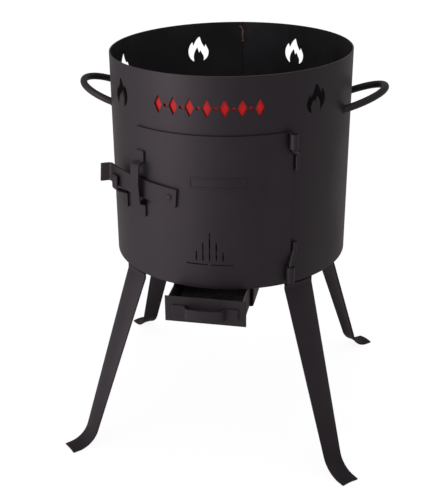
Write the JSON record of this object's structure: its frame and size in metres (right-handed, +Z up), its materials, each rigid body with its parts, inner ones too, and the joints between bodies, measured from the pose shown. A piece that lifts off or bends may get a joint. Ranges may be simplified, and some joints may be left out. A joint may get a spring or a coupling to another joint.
{
  "type": "cauldron stove",
  "caption": "Steel fire drum on splayed legs that seats a cauldron at its rim, with flame cut-outs, rod handles, a hinged door with a drop latch, a lift-out grate and a sliding ash drawer.",
  "frame": {"origin": "on the ground, under the drum's axis", "axes": "+Z up along the drum's axis, -Y towards the fire door, +X towards the door's hinge side"},
  "size_m": [0.4408, 0.4408, 0.5645],
  "materials": {
    "black_paint": "satin heat-proof black",
    "bare_steel": "dark mill scale",
    "red_paint": "gloss red"
  },
  "bodies": {
    "stove": {"drum_shell": "black_paint", "red_strip": "red_paint", "bottom_plate": "bare_steel", "side_handle_right": "black_paint", "side_handle_left": "black_paint", "leg_front_right": "black_paint", "leg_back_right": "black_paint", "leg_back_left": "black_paint", "leg_front_left": "black_paint", "hinge_pin_top": "black_paint", "hinge_pin_bottom": "black_paint", "latch_catch": "black_paint", "drawer_rail_right": "black_paint", "drawer_rail_left": "black_paint"},
    "door": {"door_panel": "black_paint", "hinge_sleeve_top": "black_paint", "hinge_sleeve_bottom": "black_paint", "latch_guide": "black_paint", "latch_rivet": "black_paint"},
    "latch": {"latch_lever": "black_paint"},
    "drawer": {"ash_tray": "black_paint", "drawer_front": "black_paint", "drawer_pull": "black_paint"},
    "grate": {"fire_grate": "bare_steel"}
  },
  "joints": [
    {"name": "door_hinge", "type": "hinge", "parent": "stove", "child": "door", "pos_m": [0.10658, -0.14418, 0.38075], "axis": [0, 0, 1], "range_deg": [0, 150]},
    {"name": "latch_lift", "type": "hinge", "parent": "door", "child": "latch", "pos_m": [-0.05507, -0.16653, 0.3995], "axis": [0.314, 0.9494, 0], "range_deg": [0, 17]},
    {"name": "drawer_slide", "type": "slide", "parent": "stove", "child": "drawer", "axis": [-0.0122, -0.9999, 0], "range_m": [-0.057, 0.15]},
    {"name": "grate_lift", "type": "slide", "parent": "stove", "child": "grate", "axis": [0, 0, 1], "range_m": [0, 0.3]}
  ]
}
